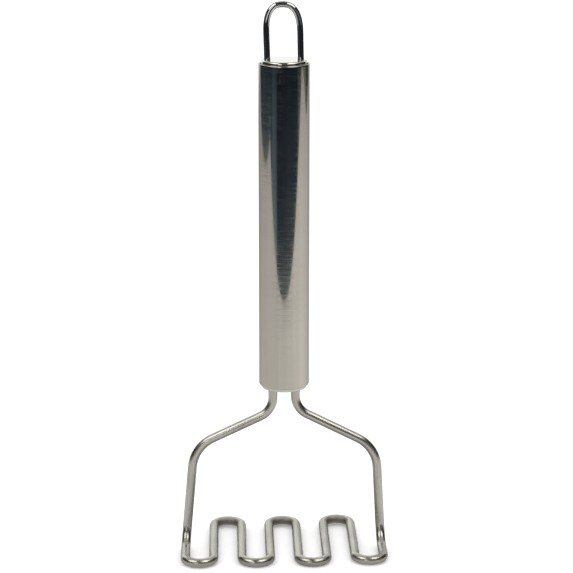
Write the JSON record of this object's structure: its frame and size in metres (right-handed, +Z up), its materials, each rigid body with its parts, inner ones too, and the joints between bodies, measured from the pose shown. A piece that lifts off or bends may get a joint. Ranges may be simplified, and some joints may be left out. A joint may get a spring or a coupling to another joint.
{
  "type": "potato masher",
  "caption": "Wire potato masher: tubular steel handle with capped ends and a hanging loop, on one continuous wire bent into two legs and a flat serpentine mashing head.",
  "frame": {"origin": "on the surface it stands on, straight below the handle's axis and at the middle of the mashing head", "axes": "+Z up along the handle, +X to the right along the head's width, -Y to the side that four of the head's bends point to"},
  "size_m": [0.0914, 0.0546, 0.245],
  "materials": {
    "handle_steel": "fine satin, brushed round the tube",
    "cap_steel": "bright satin",
    "loop_steel": "mirror polished, drawn lengthwise",
    "wire_steel": "tumbled satin",
    "weld_steel": "as welded"
  },
  "bodies": {
    "root": {"handle_tube": "handle_steel", "top_cap": "cap_steel", "bottom_cap": "cap_steel", "hanging_loop": "loop_steel", "masher_wire": "wire_steel", "leg_weld_left": "weld_steel", "leg_weld_right": "weld_steel", "loop_weld_left": "weld_steel", "loop_weld_right": "weld_steel"}
  },
  "joints": []
}
